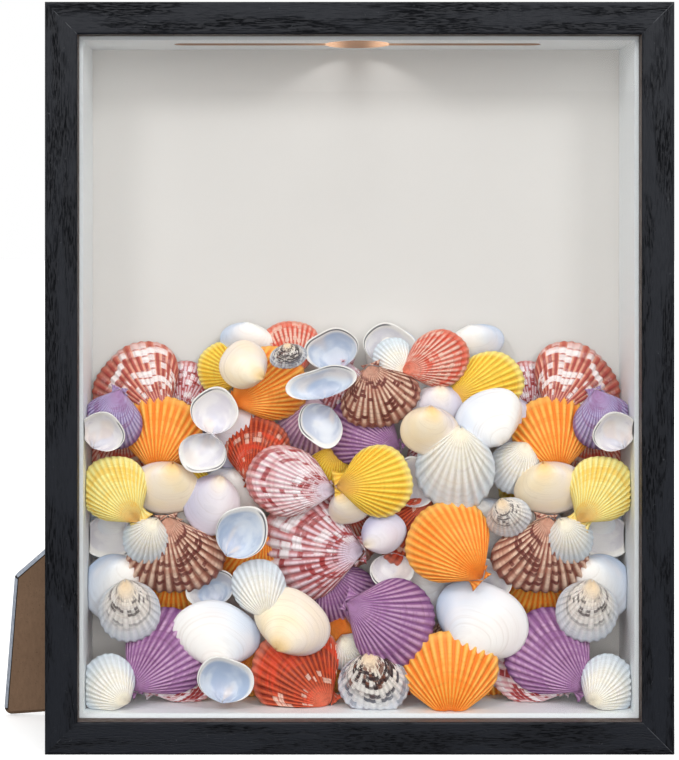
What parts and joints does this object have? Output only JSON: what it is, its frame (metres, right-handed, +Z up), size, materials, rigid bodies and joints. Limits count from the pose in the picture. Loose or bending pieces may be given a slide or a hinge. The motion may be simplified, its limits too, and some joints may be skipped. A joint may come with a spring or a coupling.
{
  "type": "shadow box",
  "caption": "Deep mitred display frame with a glass front, white-lined cavity filled with sea shells, coin slot and round hole in the top rail, turn-button back and a folding easel leg.",
  "frame": {"origin": "centre of the frame's bottom face, midway between its sides and between its front and back", "axes": "+X to the right seen from the front, +Y towards the back, +Z up"},
  "size_m": [0.2536, 0.0602, 0.275],
  "materials": {
    "black_foil": "satin open-pore wood-grain foil over MDF",
    "clear_glass": "polished",
    "white_board": "matt white",
    "raw_board": "raw fibreboard, dark face behind",
    "zinc_steel": "zinc plated",
    "orange_shell": "satin, ribbed",
    "yellow_shell": "satin, ribbed",
    "purple_shell": "satin, ribbed",
    "coral_shell": "satin, ribbed",
    "mottled_shell": "satin, ribbed and mottled",
    "brown_shell": "satin, ribbed and banded",
    "white_shell": "satin",
    "cream_shell": "satin",
    "lilac_shell": "satin"
  },
  "bodies": {
    "root": {"frame_rail_top": "black_foil", "frame_rail_bottom": "black_foil", "frame_rail_left": "black_foil", "frame_rail_right": "black_foil", "glass_pane": "clear_glass", "liner_top": "white_board", "liner_bottom": "white_board", "liner_left": "white_board", "liner_right": "white_board", "backing_card": "white_board", "back_panel": "raw_board", "corner_v_nails": "zinc_steel", "turn_button_screws": "zinc_steel", "sawtooth_hanger": "zinc_steel", "hanger_rivets": "zinc_steel", "leg_hinge_fixed_leaf": "zinc_steel", "leg_hinge_pin": "zinc_steel", "panel_rivets": "zinc_steel", "shells_clams_cream": "cream_shell", "shells_clams_lilac": "lilac_shell", "shells_clams_open": "white_shell", "shells_clams_white": "white_shell", "shells_cockles_speckled": "white_shell", "shells_cockles_white": "white_shell", "shells_fans_brown": "brown_shell", "shells_scallops_brick": "mottled_shell", "shells_scallops_coral": "coral_shell", "shells_scallops_mauve": "purple_shell", "shells_scallops_mottled": "mottled_shell", "shells_scallops_orange": "orange_shell", "shells_scallops_purple": "purple_shell", "shells_scallops_yellow": "yellow_shell"},
    "leg": {"easel_leg": "raw_board", "leg_hinge_moving_leaf": "zinc_steel", "leg_rivets": "zinc_steel"},
    "turn_button_1": {"turn_button_1": "zinc_steel"},
    "turn_button_2": {"turn_button_2": "zinc_steel"},
    "turn_button_3": {"turn_button_3": "zinc_steel"},
    "turn_button_4": {"turn_button_4": "zinc_steel"},
    "turn_button_5": {"turn_button_5": "zinc_steel"},
    "turn_button_6": {"turn_button_6": "zinc_steel"}
  },
  "joints": [
    {"name": "leg_swing", "type": "hinge", "parent": "root", "child": "leg", "pos_m": [-0.019, 0.0245, 0.1202], "axis": [0.7071, 0, -0.7071], "range_deg": [-4, 26]},
    {"name": "turn_button_1_turn", "type": "hinge", "parent": "root", "child": "turn_button_1", "pos_m": [-0.11, 0.0231, 0.112], "axis": [0, 1, 0], "range_deg": [-90, 90]},
    {"name": "turn_button_2_turn", "type": "hinge", "parent": "root", "child": "turn_button_2", "pos_m": [-0.11, 0.0231, 0.205], "axis": [0, 1, 0], "range_deg": [-90, 90]},
    {"name": "turn_button_3_turn", "type": "hinge", "parent": "root", "child": "turn_button_3", "pos_m": [0, 0.0231, 0.27], "axis": [0, 1, 0], "range_deg": [-90, 90]},
    {"name": "turn_button_4_turn", "type": "hinge", "parent": "root", "child": "turn_button_4", "pos_m": [0.11, 0.0231, 0.205], "axis": [0, 1, 0], "range_deg": [-90, 90]},
    {"name": "turn_button_5_turn", "type": "hinge", "parent": "root", "child": "turn_button_5", "pos_m": [0.11, 0.0231, 0.112], "axis": [0, 1, 0], "range_deg": [-90, 90]},
    {"name": "turn_button_6_turn", "type": "hinge", "parent": "root", "child": "turn_button_6", "pos_m": [0.045, 0.0231, 0.005], "axis": [0, 1, 0], "range_deg": [-90, 90]}
  ]
}
